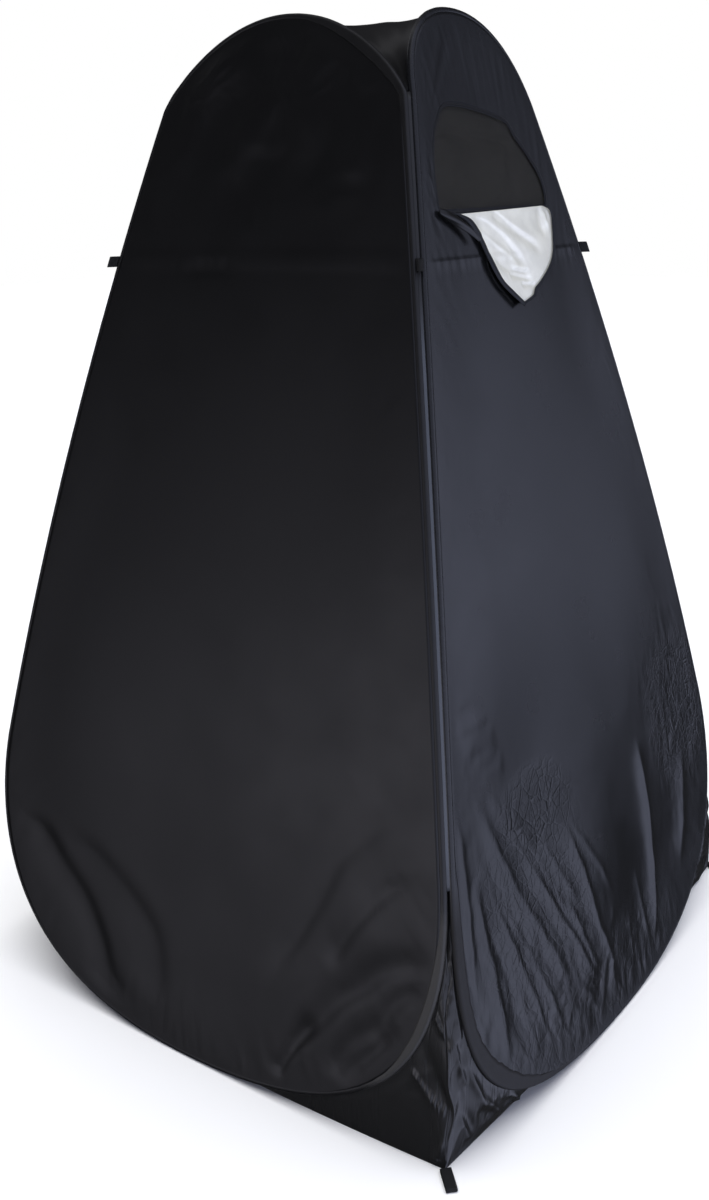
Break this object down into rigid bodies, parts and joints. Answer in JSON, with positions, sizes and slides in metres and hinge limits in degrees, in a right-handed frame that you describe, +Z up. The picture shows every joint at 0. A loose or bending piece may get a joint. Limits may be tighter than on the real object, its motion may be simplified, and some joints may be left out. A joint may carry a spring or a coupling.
{
  "type": "pop-up shower tent",
  "caption": "Tall pop-up shower tent: leaning cloth walls in spring hoops, roof membrane, corner gussets, arched window with its cover folded down, zipped door.",
  "frame": {"origin": "on the ground, at the middle of the tent's bounding box", "axes": "+Z up; the plain front wall faces -Y, the window wall faces +X, the zipped door is in the back wall at +Y"},
  "size_m": [1.3286, 1.2982, 1.9176],
  "materials": {
    "black_cloth": "matte coated polyester",
    "blue_black_cloth": "satin coated polyester",
    "sleeve": "folded cloth sleeve over spring wire",
    "silver_lining": "silver coated back of the cloth",
    "net": "fine net",
    "tape": "woven edge tape",
    "webbing": "woven webbing",
    "slider_metal": "dark painted zip slider"
  },
  "bodies": {
    "root": {"front_wall": "black_cloth", "back_wall": "black_cloth", "side_wall": "black_cloth", "window_wall": "blue_black_cloth", "roof": "black_cloth", "front_hoop": "sleeve", "back_hoop": "sleeve", "side_hoop": "sleeve", "window_hoop": "sleeve", "front_right_gusset": "blue_black_cloth", "back_right_gusset": "blue_black_cloth", "back_left_gusset": "blue_black_cloth", "front_left_gusset": "blue_black_cloth", "front_right_guy_loop": "webbing", "back_right_guy_loop": "webbing", "back_left_guy_loop": "webbing", "front_left_guy_loop": "webbing", "front_right_peg_loop": "webbing", "back_right_peg_loop": "webbing", "back_left_peg_loop": "webbing", "front_left_peg_loop": "webbing", "window_mesh": "net", "window_binding": "tape", "window_flap": "silver_lining", "flap_binding": "tape", "door_panel": "black_cloth", "door_zip": "tape", "door_slider": "slider_metal"}
  },
  "joints": []
}
